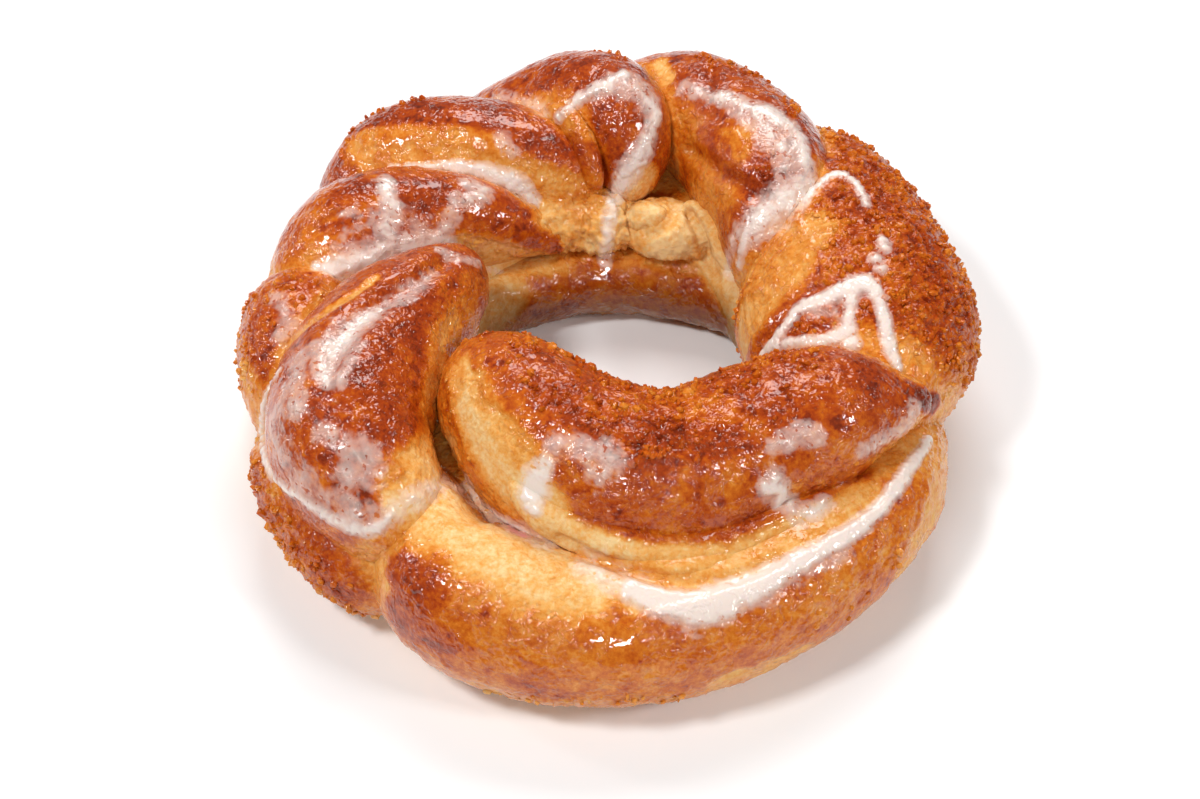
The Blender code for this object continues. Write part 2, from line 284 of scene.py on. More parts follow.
# Strokes lie on the dough as the camera sees it: each has a strength and then its points, with
# pixel x, pixel y and half width in millimetres.
icingStrokes = {
    "frontLine": (1.12, [
        (928, 440, 1.8), (905, 473, 2.2), (883, 504, 2.4), (855, 529, 2.8), (812, 555, 3.2),
        (770, 577, 4.2), (728, 598, 5.2), (695, 607, 5.4), (664, 602, 4.8), (632, 590, 4.0)]),
    "frontFade": (0.62, [(640, 590, 6.0), (610, 578, 6.5), (585, 566, 5.5)]),
    "frontSpread": (0.55, [(760, 592, 5.5), (700, 612, 6.0), (840, 552, 4.0)]),
    "rightLoop": (1.05, [
        (765, 354, 2.0), (783, 333, 1.8), (801, 311, 2.4), (829, 298, 2.8), (848, 291, 3.6),
        (864, 285, 3.4), (874, 293, 2.8), (881, 309, 2.2), (885, 330, 2.4), (889, 347, 2.4),
        (897, 366, 1.8)]),
    "rightArm": (1.0, [
        (850, 298, 2.4), (849, 320, 2.2), (843, 334, 2.8), (824, 341, 2.2), (800, 342, 2.0),
        (772, 348, 2.2)]),
    "rightHollow": (1.0, [(850, 330, 2.4), (852, 344, 3.0)]),
    "rightMist": (0.42, [(812, 316, 3.6), (835, 312, 4.0)]),
    "rightCurl": (1.0, [
        (806, 200, 2.4), (816, 190, 1.8), (829, 179, 1.8), (841, 177, 1.8), (855, 186, 1.8),
        (862, 197, 1.8), (866, 206, 1.8)]),
    "rightDabs": (0.95, [(883, 242, 2.4), (884, 249, 2.2)]),
    "rightDabsLow": (0.85, [(876, 260, 2.6), (880, 271, 2.2)]),
    "backRightFilm": (0.6, [(686, 90, 4.0), (712, 98, 4.0)]),
    "backRightLine": (0.86, [
        (722, 98, 3.4), (745, 108, 4.0), (768, 114, 4.0), (788, 128, 4.4), (799, 146, 4.0),
        (803, 164, 3.8)]),
    "backRightArm": (0.66, [
        (735, 108, 4.0), (752, 120, 5.0), (772, 136, 6.0), (788, 154, 6.0), (786, 176, 5.0)]),
    "backRightPatch": (0.8, [
        (806, 182, 5.0), (795, 192, 6.5), (778, 206, 7.5), (764, 218, 7.0), (756, 228, 6.0)]),
    "backRightDrip": (0.85, [(770, 205, 3.0), (752, 232, 3.4), (744, 250, 2.6), (740, 264, 1.8)]),
    "backRightTail": (0.62, [(742, 232, 4.0), (730, 255, 4.0), (733, 275, 3.0)]),
    "backDripTop": (0.88, [(560, 117, 2.0), (580, 100, 2.4), (602, 88, 2.8), (624, 78, 2.8)]),
    "backDripMist": (0.66, [(600, 92, 4.0), (620, 84, 5.5), (640, 92, 6.0), (650, 108, 5.5)]),
    "backDrip": (0.88, [
        (654, 112, 3.4), (650, 132, 3.4), (640, 156, 4.6), (630, 172, 4.6), (620, 188, 3.4),
        (612, 204, 2.8)]),
    "backDripLow": (0.78, [(610, 212, 2.8), (608, 232, 2.8), (607, 252, 2.8), (606, 264, 2.6)]),
    "backLeftFilm": (0.5, [(500, 96, 3.5), (520, 102, 4.5), (545, 114, 4.0)]),
    "backLeftBlush": (0.5, [(500, 138, 3.5), (512, 150, 3.5)]),
    "crescent": (1.0, [
        (393, 168, 1.4), (420, 167, 1.7), (450, 167, 2.2), (480, 171, 2.8), (506, 179, 3.4),
        (526, 190, 3.2), (536, 204, 2.0)]),
    "upperPool": (0.92, [
        (318, 268, 2.4), (340, 268, 4.4), (362, 262, 6.0), (388, 254, 6.4), (412, 247, 5.6),
        (436, 242, 4.2), (450, 243, 2.4)]),
    "upperStem": (0.78, [(384, 182, 3.4), (388, 198, 4.2), (392, 215, 4.4), (386, 234, 4.8)]),
    "upperStemTwo": (0.7, [
        (470, 186, 4.4), (484, 196, 3.6), (458, 204, 3.4), (448, 222, 3.4), (440, 236, 3.4)]),
    "upperFilm": (0.4, [
        (345, 214, 3.6), (360, 222, 3.6), (345, 250, 4.0), (425, 230, 5.5), (372, 216, 7.0)]),
    "leftGroove": (0.8, [
        (380, 306, 2.8), (362, 320, 4.0), (345, 336, 5.2), (332, 348, 5.8), (324, 364, 4.6),
        (326, 384, 2.4)]),
    "leftGrooveSide": (0.6, [(320, 344, 4.0), (304, 360, 4.6), (296, 385, 4.6), (300, 410, 4.0)]),
    "leftGrooveEdge": (0.58, [(356, 342, 3.6), (346, 364, 3.2), (338, 386, 2.6)]),
    "leftGrooveMist": (0.54, [
        (436, 272, 3.0), (410, 290, 4.0), (380, 308, 4.6), (350, 326, 6.0), (318, 350, 6.0),
        (300, 362, 5.0)]),
    "leftRim": (0.84, [
        (284, 371, 1.2), (268, 396, 1.5), (262, 430, 1.8), (268, 462, 2.0), (284, 484, 2.2),
        (308, 500, 2.4), (334, 516, 2.6), (360, 528, 2.8), (378, 526, 2.8), (392, 513, 2.4)]),
    "leftRimSmear": (0.66, [(388, 516, 4.4), (412, 500, 4.4), (438, 488, 3.6)]),
    "leftRimFilm": (0.46, [
        (286, 392, 5.0), (276, 425, 5.5), (284, 455, 6.0), (305, 482, 6.5), (335, 500, 6.5),
        (366, 514, 5.5)]),
    "leftSwirl": (0.54, [
        (322, 432, 3.6), (345, 444, 4.6), (368, 456, 5.0), (372, 476, 4.6), (345, 478, 5.0)]),
    "capDrop": (0.95, [(546, 464, 2.8), (538, 478, 4.4), (532, 494, 4.6), (534, 508, 2.8)]),
    "capMist": (0.6, [(560, 446, 4.4), (585, 448, 5.4), (610, 458, 5.4), (600, 478, 4.4)]),
    "capSwirl": (0.66, [(772, 448, 3.2), (790, 438, 4.0), (808, 430, 3.6), (816, 440, 3.2)]),
    "capDab": (0.9, [(762, 486, 2.6), (778, 490, 3.0), (776, 504, 3.0)]),
    "capDabMist": (0.7, [(770, 480, 5.0), (782, 500, 5.0), (800, 516, 4.0), (824, 506, 3.4)]),
    "capTail": (0.62, [(914, 408, 3.4), (905, 424, 3.4), (885, 438, 3.0), (860, 450, 3.0)]),
    "cleftIcing": (0.6, [(446, 482, 5.0), (480, 505, 6.0), (515, 530, 5.0), (545, 545, 4.0)]),
    "cleftRidge": (0.95, [(486, 502, 1.6), (505, 516, 2.0), (530, 532, 2.2), (552, 544, 2.2)]),
    "outerLeftFilm": (0.5, [(278, 300, 4.0), (290, 316, 4.0), (284, 335, 4.0)]),
    "creaseFilm": (0.55, [(440, 250, 3.0), (470, 262, 2.0), (500, 272, 1.6)]),
}
toneStrokes = {
    "frontTop": (0.1, [
        (400, 478, 6.0), (432, 500, 9.0), (470, 530, 10.0), (520, 560, 11.0), (580, 585, 9.0)]),
    "frontShoulder": (0.2, [
        (640, 590, 6.0), (700, 580, 5.0), (760, 556, 5.0), (820, 528, 4.0), (870, 495, 4.0)]),
    "frontBand": (0.44, [
        (470, 620, 8.0), (540, 648, 9.0), (620, 655, 9.0), (700, 650, 8.0), (780, 622, 7.0),
        (860, 575, 6.0), (905, 520, 5.0)]),
    "frontLeftMarks": (0.66, [(402, 572, 5.0), (425, 590, 6.0), (400, 618, 5.0), (445, 640, 4.0)]),
    "frontSide": (0.24, [
        (950, 440, 5.0), (944, 480, 6.0), (926, 530, 6.0), (895, 580, 6.5), (850, 625, 6.0),
        (790, 658, 5.0), (720, 682, 4.0)]),
    "capLeftSide": (0.07, [
        (462, 366, 2.4), (463, 385, 4.0), (472, 415, 5.6), (490, 448, 7.0), (514, 482, 7.0),
        (546, 512, 6.0)]),
    "capLeftTop": (0.5, [(492, 346, 4.0), (501, 370, 4.4), (530, 406, 4.4)]),
    "capLeftBlend": (0.3, [(478, 382, 3.0), (500, 425, 4.0), (538, 462, 4.0)]),
    "capCrown": (0.68, [(505, 350, 5.0), (530, 372, 7.0), (560, 392, 7.0), (600, 418, 6.0)]),
    "capMiddle": (0.6, [(620, 400, 7.0), (680, 410, 8.0), (720, 400, 7.0), (640, 440, 7.0)]),
    "capSpots": (0.72, [
        (640, 425, 3.0), (700, 440, 3.5), (735, 442, 3.5), (590, 440, 3.0), (668, 470, 3.0)]),
    "capRightCrown": (0.66, [(790, 372, 6.0), (830, 368, 6.0), (870, 378, 6.0), (895, 396, 5.0)]),
    "capGlossy": (0.56, [
        (600, 490, 7.0), (660, 505, 8.0), (720, 500, 8.0), (780, 470, 6.0), (840, 450, 6.0)]),
    "capHem": (0.58, [
        (580, 505, 3.5), (640, 528, 3.5), (700, 530, 3.5), (740, 524, 3.5), (860, 470, 3.5)]),
    "capTip": (0.84, [(912, 391, 3.0), (924, 398, 3.4), (931, 403, 3.0)]),
    "leftHeart": (0.68, [(402, 312, 5.0), (408, 340, 6.0), (400, 380, 7.0), (385, 420, 6.0)]),
    "leftSpots": (0.7, [
        (430, 290, 3.0), (426, 302, 3.0), (388, 356, 2.5), (312, 405, 3.0), (330, 425, 3.0),
        (350, 495, 3.0), (392, 470, 3.0)]),
    "leftRight": (0.46, [
        (468, 280, 3.5), (468, 320, 4.5), (460, 365, 4.5), (445, 405, 4.5), (430, 435, 4.0)]),
    "leftStripe": (0.27, [(376, 280, 1.4), (330, 312, 2.0), (302, 334, 2.2), (282, 356, 2.0)]),
    "leftCorner": (0.25, [(420, 462, 5.0), (398, 492, 5.0)]),
    "upperBody": (0.52, [(300, 215, 7.0), (288, 245, 6.0), (330, 200, 6.0)]),
    "upperHeart": (0.74, [(408, 198, 3.5), (425, 202, 4.0), (438, 190, 3.0), (352, 188, 2.6)]),
    "upperRidge": (0.62, [(470, 218, 3.4), (500, 226, 3.6), (530, 236, 3.2), (556, 248, 2.6)]),
    "upperLip": (0.26, [(462, 246, 4.0), (500, 254, 5.0), (540, 262, 4.0), (560, 264, 3.0)]),
    "backLeftCrown": (0.7, [(372, 122, 4.0), (410, 112, 4.5), (455, 112, 4.5), (490, 122, 4.0)]),
    "backLeftEdge": (0.74, [(520, 140, 3.5), (555, 148, 4.5), (584, 158, 4.5), (598, 168, 3.5)]),
    "backLeftFace": (0.31, [
        (362, 148, 5.0), (385, 154, 6.5), (420, 152, 6.0), (450, 154, 6.0), (478, 158, 6.0),
        (535, 178, 6.0), (570, 188, 7.0), (590, 200, 5.0)]),
    "backLeftBand": (0.45, [(370, 138, 3.0), (420, 134, 3.0), (470, 138, 3.0), (510, 150, 3.5)]),
    "backHeart": (0.62, [(604, 106, 4.0), (612, 128, 5.0), (618, 150, 4.0), (600, 180, 3.0)]),
    "backTop": (0.64, [(520, 72, 5.0), (560, 66, 6.0), (600, 66, 5.0)]),
    "backTip": (0.12, [(645, 178, 5.0), (636, 200, 6.0), (622, 224, 5.0), (600, 215, 4.0)]),
    "backFlap": (0.4, [(560, 122, 2.6), (582, 150, 3.0), (594, 180, 2.6)]),
    "backRightCrest": (0.64, [
        (700, 68, 4.0), (735, 82, 4.0), (770, 98, 4.0), (800, 120, 4.0), (818, 150, 4.0)]),
    "backRightBody": (0.42, [(690, 130, 6.0), (700, 165, 6.0), (720, 195, 6.0), (735, 140, 6.0)]),
    "backRightSpots": (0.74, [
        (704, 136, 2.6), (724, 152, 2.8), (700, 148, 2.2), (752, 184, 3.4), (770, 178, 2.6)]),
    "backRightTop": (0.15, [(660, 64, 2.6), (668, 78, 2.6)]),
    "backRightEdge": (0.1, [
        (684, 208, 3.0), (690, 225, 4.0), (706, 250, 4.5), (722, 280, 5.0), (732, 310, 4.5)]),
    "rightInner": (0.29, [
        (812, 232, 7.0), (795, 250, 9.0), (780, 270, 10.0), (764, 292, 9.0), (754, 312, 7.0)]),
    "rightWall": (0.1, [(745, 318, 5.0), (742, 345, 6.0), (736, 366, 5.0)]),
    "rightFar": (0.66, [(838, 165, 4.0), (900, 215, 6.0), (940, 280, 6.0), (962, 330, 5.0)]),
    "rightLow": (0.2, [(970, 395, 6.0), (962, 420, 7.0), (954, 446, 6.0)]),
    "innerWallLeft": (0.14, [(490, 262, 6.0), (506, 285, 7.0), (500, 312, 6.0), (488, 332, 5.0)]),
    "outerLeftSide": (0.32, [(246, 372, 4.0), (254, 392, 4.0), (244, 405, 3.0)]),
    "lowerLeftDark": (0.6, [(290, 520, 6.0), (330, 560, 6.0), (350, 590, 5.0)]),
}
gritStrokes = {
    "capInnerEdge": (1.0, [
        (520, 345, 4.0), (560, 352, 5.0), (600, 376, 6.0), (640, 392, 7.0), (690, 396, 7.0),
        (735, 380, 7.0), (775, 358, 6.0), (820, 356, 4.0)]),
    "capCrownGrain": (0.8, [(540, 390, 6.0), (620, 420, 8.0), (690, 430, 8.0), (580, 460, 6.0)]),
    "frontLowEdge": (0.5, [
        (372, 590, 4.0), (400, 640, 5.0), (440, 672, 5.0), (500, 692, 4.0), (580, 700, 4.0),
        (680, 694, 4.0)]),
    "backTopRim": (0.7, [
        (505, 78, 3.0), (532, 62, 3.0), (562, 55, 3.0), (592, 52, 3.0), (622, 60, 3.0)]),
    "backLeftRim": (0.55, [(346, 152, 3.0), (358, 128, 3.0), (392, 108, 3.0), (436, 100, 3.0)]),
    "upperRim": (0.6, [(306, 204, 3.0), (288, 222, 3.0), (276, 250, 3.0)]),
    "frontRightCrust": (0.4, [(932, 480, 6.0), (908, 540, 7.0), (866, 590, 7.0), (808, 630, 6.0)]),
    "backRightRim": (0.8, [(700, 58, 3.0), (750, 75, 3.0), (790, 100, 3.0), (770, 180, 5.0)]),
}
smoothStrokes = {
    "rightInner": (1.0, [
        (800, 240, 8.0), (788, 262, 10.0), (772, 292, 10.0), (752, 320, 9.0), (740, 355, 8.0)]),
    "capLeft": (1.0, [(475, 370, 6.0), (490, 420, 9.0), (515, 460, 9.0), (560, 500, 7.0)]),
    "capBelly": (0.9, [
        (620, 500, 8.0), (700, 505, 9.0), (780, 460, 8.0), (850, 420, 9.0), (880, 405, 8.0)]),
    "frontBody": (1.0, [(470, 560, 10.0), (560, 600, 12.0), (660, 640, 10.0), (770, 610, 9.0)]),
    "backRightBody": (0.7, [(700, 110, 7.0), (700, 150, 6.0)]),
}
stainStrokes = {
    "pinkSpot": (1.0, [(509, 528, 1.6), (516, 532, 2.0), (523, 536, 1.6)]),
}
grooveStrokes = {
    "leftGroove": (1.0, [
        (448, 260, 2.4), (415, 282, 2.8), (378, 304, 3.4), (345, 335, 3.4), (325, 378, 2.4)]),
    "frontShoulder": (0.6, [
        (560, 540, 1.8), (616, 566, 2.0), (672, 582, 2.0), (730, 580, 2.0), (780, 560, 1.8)]),
    "backRightFold": (0.7, [(690, 150, 2.2), (720, 172, 2.6), (760, 196, 2.4)]),
    "backRightSlot": (0.7, [(712, 70, 1.8), (708, 90, 2.2)]),
    "upperCrease": (0.6, [(312, 232, 1.8), (335, 216, 2.0)]),
    "lumpNotch": (0.7, [(674, 206, 1.8), (673, 218, 1.8), (664, 228, 1.6), (655, 234, 1.2)]),
    "lumpEdge": (0.8, [(690, 214, 1.6), (700, 236, 1.8), (708, 258, 1.8), (716, 276, 1.6)]),
    "lumpFold": (0.5, [(650, 262, 1.6), (672, 268, 1.8), (694, 272, 1.4)]),
}


strokeStep = 5  # pixels between the spots of a stroke
coarse = {"limb": (70, 44), "ring": (160, 40)}
farAway = 99.0


def coarseTree():
    points, faces, base = [], [], 0
    grids = [(bendGrid(rows, *coarse["limb"]), False) for rows in rowsOf.values()]
    grids.append((ringGrid(*coarse["ring"]), True))
    for grid, wraps in grids:
        points.append(grid.reshape(-1, 3) * mm)
        faces.append(gridFaces(*grid.shape[:2], wraps) + base)
        base += len(points[-1])
    return BVHTree.FromPolygons(np.concatenate(points).tolist(), np.concatenate(faces).tolist())


def layStrokes(strokes, tree):
    start = Vector(view["location"]) * mm
    laid = []
    for strength, points in strokes.values():
        points = np.array(points, dtype=float)
        length = np.linalg.norm(np.diff(points[:, :2], axis=0), axis=1).sum()
        spots = []
        shares = np.linspace(0, 1, max(2, int(length / strokeStep)))
        for pixelX, pixelY, halfWidth in glide(points, shares):
            hit = tree.ray_cast(start, sightLine(pixelX, pixelY))[0]
            if hit is not None:
                spots.append((*(hit / mm), halfWidth))
        laid.append((strength, np.array(spots, dtype=np.float32)))
    return laid


def strokeField(points, spots):
    field = np.zeros(len(points), dtype=np.float32)
    if not len(spots):
        return field
    reach = spots[:, 3:4] * 2
    box = np.all((points > (spots[:, :3] - reach).min(axis=0))
                 & (points < (spots[:, :3] + reach).max(axis=0)), axis=1)
    near = points[box]
    if not len(near):
        return field
    best = np.zeros(len(near), dtype=np.float32)
    for x, y, z, halfWidth in spots:
        away = np.sqrt((near[:, 0] - x) ** 2 + (near[:, 1] - y) ** 2 + (near[:, 2] - z) ** 2)
        best = np.maximum(best, 1 - away / (2 * halfWidth))
    field[box] = best
    return field


def strongest(points, laid):
    field = np.zeros(len(points), dtype=np.float32)
    for strength, spots in laid:
        field = np.maximum(field, strength * smoothStep(0.0, 1.0, strokeField(points, spots)))
    return field


def tonedBy(points, laid, tone):
    total = np.zeros(len(points), dtype=np.float32)
    mixed = np.zeros(len(points), dtype=np.float32)
    for strength, spots in laid:
        weight = smoothStep(0.12, 0.62, strokeField(points, spots)) ** 1.5
        total += weight
        mixed += weight * strength
    cover = np.minimum(total, 1.0)
    return tone * (1 - cover) + mixed / np.maximum(total, 1e-6) * cover


searchTree = coarseTree()
laidStrokes = {name: layStrokes(strokes, searchTree) for name, strokes in (
    ("icing", icingStrokes), ("tone", toneStrokes), ("grit", gritStrokes), ("smooth", smoothStrokes),
    ("groove", grooveStrokes), ("stain", stainStrokes))}
say("strokes laid")


# Tones run from 0, raw dough, to 1, burnt. The creases between strands stay pale and bare, the foot
# stays paler than the top, and the side towards the hole is darkened with painted shade.
paint = {
    "creaseReach": 6.0, "creaseTone": 0.24, "creaseShare": 0.75, "creaseBare": 0.6,
    "creaseMargin": 10, "creaseStops": np.linspace(0.05, 0.95, 20),
    "topTone": 0.06, "lowTone": 0.12, "lowCrumb": 0.15, "lowSlope": (0.1, -0.5), "lowHeight": (30, 8),
    # Painted shade: the dough's colour is darkened towards the hole and low down, within these radii and
    # heights.
    "paintedHoleShade": 0.62, "paintedShadeRadius": (68, 56), "paintedShadeHeight": (30, 12),
    "gritGain": 1.2, "smoothShare": 0.95, "paleTones": (0.12, 0.3),
}


# How far each point lies outside the other strands, less than nothing inside them.
def otherDoughDepth(points, skip):
    nearest = np.full(len(points), farAway, dtype=np.float32)
    for name, rows in rowsOf.items():
        if name == skip:
            continue
        reach = rows[:, 3:].max() + paint["creaseMargin"]
        box = np.all((points > rows[:, :3].min(axis=0) - reach)
                     & (points < rows[:, :3].max(axis=0) + reach), axis=1)
        if not box.any():
            continue
        inside = points[box]
        best = np.full(len(inside), farAway, dtype=np.float32)
        for x, y, z, wide, deep in glide(rows, paint["creaseStops"]).astype(np.float32):
            flat = (inside[:, 0] - x) ** 2 + (inside[:, 1] - y) ** 2
            away = np.sqrt(flat / wide**2 + (inside[:, 2] - z) ** 2 / deep**2)
            best = np.minimum(best, (away - 1) * min(wide, deep))
        nearest[box] = np.minimum(nearest[box], best)
    return nearest


def triples(collection, field):
    values = np.empty(len(collection) * 3, dtype=np.float32)
    collection.foreach_get(field, values)
    return values.reshape(-1, 3)


def paintPiece(name, mesh):
    points = triples(mesh.vertices, "co") / mm
    upward = triples(mesh.vertex_normals, "vector")[:, 2]
    height = points[:, 2]
    radius = np.hypot(points[:, 0] - ringAxis[0], points[:, 1] - ringAxis[1])
    plan = strands.get(name, coreRing)
    depth = otherDoughDepth(points, name)
    crease = smoothStep(paint["creaseReach"], 0.0, depth)
    lowSide = smoothStep(*paint["lowSlope"], upward) * smoothStep(*paint["lowHeight"], height)
    # Mask of the painted shade towards the hole, strongest low down.
    paintedShadeMask = smoothStep(*paint["paintedShadeRadius"], radius) * smoothStep(*paint["paintedShadeHeight"], height)
    tone = plan["browning"] + paint["topTone"] * upward - paint["lowTone"] * lowSide
    tone = tone + (paint["creaseTone"] - tone) * paint["creaseShare"] * crease
    tone = tonedBy(points, laidStrokes["tone"], tone)
    smooth = smoothStep(0.1, 0.6, strongest(points, laidStrokes["smooth"]))
    grit = strongest(points, laidStrokes["grit"]) * paint["gritGain"]
    crumb = np.maximum(plan["crumb"] + paint["lowCrumb"] * lowSide, grit)
    crumb = crumb * (1 - paint["smoothShare"] * smooth) * (1 - paint["creaseBare"] * crease)
    crumb = crumb * smoothStep(*paint["paleTones"], tone)
    values = {
        "browning": tone,
        "crumb": np.clip(crumb, 0, 1),
        "icing": strongest(points, laidStrokes["icing"]),
        "groove": strongest(points, laidStrokes["groove"]),
        "stain": strongest(points, laidStrokes["stain"]),
        "torn": np.full(len(points), plan["torn"]),
        "exposed": smoothStep(-0.5, 0.5, depth),
        # Painted shade towards the hole, stored for the finishes to darken the colour.
        "paintedHoleShade": paint["paintedHoleShade"] * paintedShadeMask,
    }
    for kind, value in values.items():
        layer = mesh.attributes.new(kind, "FLOAT", "POINT")
        layer.data.foreach_set("value", np.ascontiguousarray(value, dtype=np.float32))


for pieceName, mesh in basePieces.items():
    paintPiece(pieceName, mesh)
say("tones, crumbs and icing painted")


class Nodes:
    def __init__(self, tree):
        self.tree = tree

    def add(self, kind, inputs=None, **settings):
        node = self.tree.nodes.new(kind)
        for key, value in settings.items():
            setattr(node, key, value)
        for key, value in (inputs or {}).items():
            self.plug(node.inputs[key], value)
        return node

    def plug(self, socket, value):
        if isinstance(value, bpy.types.NodeSocket):
            self.tree.links.new(value, socket)
        else:
            socket.default_value = value

    def math(self, operation, first, second=0.0, third=0.0):
        node = self.add("ShaderNodeMath", operation=operation)
        for socket, value in zip(node.inputs, (first, second, third)):
            self.plug(socket, value)
        return node.outputs[0]

    def times(self, first, second):
        return self.math("MULTIPLY", first, second)

    def plus(self, first, *others):
        for other in others:
            first = self.math("ADD", first, other)
        return first

    def less(self, first, second):
        return self.math("SUBTRACT", first, second)

    def perMetre(self, size):
        if isinstance(size, bpy.types.NodeSocket):
            return self.math("DIVIDE", 1 / mm, size)
        return 1 / mm / size

    def noise(self, place, size, detail=2.0, roughness=0.5, distortion=0.0):
        return self.add("ShaderNodeTexNoise", {
            "Vector": place, "Scale": self.perMetre(size), "Detail": detail,
            "Roughness": roughness, "Distortion": distortion}).outputs[0]

    def swing(self, *args):
        return self.less(self.noise(*args), 0.5)

    def cells(self, place, size, smoothness):
        return self.add("ShaderNodeTexVoronoi", {
            "Vector": place, "Scale": self.perMetre(size), "Smoothness": smoothness},
            feature="SMOOTH_F1").outputs["Distance"]

    def ramp(self, value, low, high, lowOut=0.0, highOut=1.0):
        node = self.add("ShaderNodeMapRange", {"Value": value, "From Min": low, "From Max": high,
                                               "To Min": lowOut, "To Max": highOut},
                        interpolation_type="SMOOTHSTEP", clamp=True)
        return node.outputs["Result"]

    def stored(self, name):
        return self.add("GeometryNodeInputNamedAttribute", {"Name": name},
                        data_type="FLOAT").outputs["Attribute"]

    # Where the glaze has run smooth.
    def pools(self, place):
        return self.ramp(self.noise(place, 10.0, 4.0, 0.6, 1.0), 0.5, 0.56)


# The relief tree lifts crust, grit and icing out of the plain dough, and stores the tone and the
# icing's thickness that the finishes read. Heights and sizes that a user would change are its inputs,
# and the finer shares are in reliefDetail.
relief = {
    "Swell height": 1.6, "Swell size": 20.0,
    "Lump height": 1.4, "Lump size": 4.2,
    "Grit height": 1.0, "Grit size": 2.6,
    "Fine height": 0.12, "Fine size": 1.6,
    "Torn height": 5.0, "Torn size": 9.0,
    "Crust lift": 0.7, "Icing height": 1.0, "Groove depth": 3.0,
}
reliefDetail = {
    "patchSize": 15.0, "patchShare": 0.42, "mottleSize": 4.5, "mottleShare": 0.5,
    "gritEdge": 0.55, "gritGain": 2.4, "gritPatchSize": 9.0, "gritTone": -0.25,
    "speckleSize": 1.8, "speckleShare": 0.35,
    "icingEdgeSize": 6.0, "icingEdgeShare": 0.85, "icingBeadSize": 2.6, "icingBeadShare": 0.5,
    "tearSize": 3.4, "tearShare": 1.5, "poreSize": 1.4, "poreShare": 0.12,
    "poolCalm": 0.75,
}


def reliefTree():
    tree = bpy.data.node_groups.new("doughRelief", "GeometryNodeTree")
    tree.interface.new_socket("Geometry", in_out="INPUT", socket_type="NodeSocketGeometry")
    for name, value in relief.items():
        socket = tree.interface.new_socket(name, in_out="INPUT", socket_type="NodeSocketFloat")
        socket.default_value = value
    tree.interface.new_socket("Finish", in_out="INPUT", socket_type="NodeSocketMaterial")
    tree.interface.new_socket("Geometry", in_out="OUTPUT", socket_type="NodeSocketGeometry")
    n = Nodes(tree)
    given = n.add("NodeGroupInput").outputs
    place = n.add("GeometryNodeInputPosition").outputs[0]
    normal = n.add("GeometryNodeInputNormal").outputs[0]
    detail = reliefDetail
    browning, icing, crumb, tear = (n.stored(name) for name in ("browning", "icing", "crumb", "torn"))

    patches = n.plus(n.times(n.swing(place, detail["patchSize"], 3.0, 0.55), detail["patchShare"]),
                     n.times(n.swing(place, detail["mottleSize"], 3.0, 0.6), detail["mottleShare"]))
    tone = n.plus(browning, n.times(patches, n.ramp(browning, 0.0, 0.35, 0.75, 1.0)))
    gritCells = n.less(detail["gritEdge"], n.cells(place, given["Grit size"], 0.2))
    gritPatch = n.ramp(n.noise(place, detail["gritPatchSize"], 2.0), 0.35, 0.6, 0.45, 1.0)
    grit = n.times(n.times(gritCells, gritPatch), crumb)
    speckles = n.times(n.times(n.swing(place, detail["speckleSize"], 2.0), crumb), detail["speckleShare"])
    tone = n.plus(tone, n.times(grit, detail["gritTone"]), speckles)

    thickness = n.plus(
        icing, n.times(n.swing(place, detail["icingEdgeSize"], 3.0, 0.55, 1.2), detail["icingEdgeShare"]),
        n.times(n.swing(place, detail["icingBeadSize"], 2.0, 0.5, 0.6), detail["icingBeadShare"]))
    thickness = n.times(thickness, n.ramp(icing, 0.02, 0.2))
    icingRise = n.times(n.ramp(thickness, 0.4, 0.95), given["Icing height"])
    bare = n.less(1.0, n.times(n.ramp(thickness, 0.35, 0.75), 0.85))

    ragged = n.times(n.swing(place, detail["tearSize"], 3.0, 0.6), detail["tearShare"])
    torn = n.plus(n.times(tear, n.swing(place, given["Torn size"], 2.0, 0.5, 0.5)),
                  n.times(n.times(tear, tear), ragged),
                  n.times(n.times(tear, n.swing(place, detail["poreSize"], 2.0)), detail["poreShare"]))
    calm = n.times(n.times(n.pools(place), detail["poolCalm"]), n.less(1.0, crumb))
    rough = n.times(bare, n.less(1.0, calm))
    lumps = n.times(n.swing(place, given["Lump size"], 2.0, 0.5, 0.4), given["Lump height"])
    parts = [
        n.times(n.swing(place, given["Swell size"], 1.0), given["Swell height"]),
        n.times(lumps, rough),
        n.times(n.times(n.swing(place, given["Fine size"], 1.0), given["Fine height"]), rough),
        n.times(n.times(grit, n.times(given["Grit height"], detail["gritGain"])), bare),
        n.times(torn, given["Torn height"]),
        n.times(n.ramp(tone, 0.26, 0.38), given["Crust lift"]),
        icingRise,
        n.times(n.times(n.stored("groove"), given["Groove depth"]), -1.0),
    ]
    move = n.add("ShaderNodeVectorMath", {0: normal, "Scale": n.times(n.plus(*parts), mm)},
                 operation="SCALE")

    def store(geometry, name, value):
        return n.add("GeometryNodeStoreNamedAttribute", {
            "Geometry": geometry, "Name": name, "Value": value},
            data_type="FLOAT", domain="POINT").outputs[0]

    shape = store(store(given["Geometry"], "tone", tone), "thickness", thickness)
    shape = n.add("GeometryNodeSetPosition", {"Geometry": shape, "Offset": move.outputs[0]}).outputs[0]
    shape = n.add("GeometryNodeRealizeInstances", {0: shape}).outputs[0]
    shape = n.add("GeometryNodeSetMaterial", {"Geometry": shape, "Material": given["Finish"]}).outputs[0]
    n.add("NodeGroupOutput", {0: shape})
    return tree


